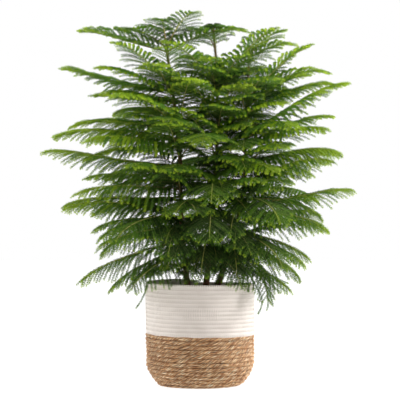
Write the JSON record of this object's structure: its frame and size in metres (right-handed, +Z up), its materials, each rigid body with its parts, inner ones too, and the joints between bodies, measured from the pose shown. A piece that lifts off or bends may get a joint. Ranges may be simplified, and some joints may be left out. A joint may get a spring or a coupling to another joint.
{
  "type": "potted norfolk island pine",
  "caption": "Potted evergreen with slim upright stems and tiers of flat feathery boughs, in a round woven basket of pale cotton rope over natural seagrass.",
  "frame": {"origin": "centre of the basket's flat underside", "axes": "+Z up, -Y towards the viewer's side, +X to the viewer's right"},
  "size_m": [0.7857, 0.5647, 0.9638],
  "materials": {
    "cotton_rope": "coiled off-white cotton rope, stitched, matt",
    "seagrass": "twisted natural seagrass rows, matt to faintly satin",
    "potting_soil": "dark moist potting mix with bark chips, matt",
    "bark": "reddish brown young bark, rough and matt",
    "needles": "mid to dark green soft needles, satin",
    "young_needles": "bright yellow-green young needles, satin"
  },
  "bodies": {
    "root": {"basket_cotton": "cotton_rope", "basket_seagrass": "seagrass", "bough_centre_01": "needles", "bough_centre_02": "needles", "bough_centre_03": "needles", "bough_centre_04": "needles", "bough_centre_05": "needles", "bough_centre_06": "needles", "bough_centre_07": "needles", "bough_centre_08": "needles", "bough_centre_09": "needles", "bough_centre_10": "needles", "bough_centre_11": "needles", "bough_centre_12": "needles", "bough_centre_13": "needles", "bough_centre_14": "needles", "bough_centre_15": "needles", "bough_centre_16": "needles", "bough_left_01": "needles", "bough_left_02": "needles", "bough_left_03": "needles", "bough_left_04": "needles", "bough_left_05": "needles", "bough_left_06": "needles", "bough_left_07": "needles", "bough_left_08": "needles", "bough_left_09": "needles", "bough_left_10": "needles", "bough_left_11": "needles", "bough_left_12": "needles", "bough_left_13": "needles", "bough_left_14": "needles", "bough_left_15": "needles", "bough_left_16": "needles", "bough_left_17": "needles", "bough_left_18": "needles", "bough_left_19": "needles", "bough_left_20": "needles", "bough_right_01": "needles", "bough_right_02": "needles", "bough_right_03": "needles", "bough_right_04": "needles", "bough_right_05": "needles", "bough_right_06": "needles", "bough_right_07": "needles", "bough_right_08": "needles", "bough_right_09": "needles", "bough_right_10": "needles", "bough_right_11": "needles", "bough_right_12": "needles", "bough_right_13": "needles", "bough_right_14": "needles", "bough_right_15": "needles", "bough_right_16": "needles", "bough_right_17": "needles", "leader_whorl": "young_needles", "soil": "potting_soil", "stem_centre": "bark", "stem_left": "bark", "stem_right": "bark"}
  },
  "joints": []
}
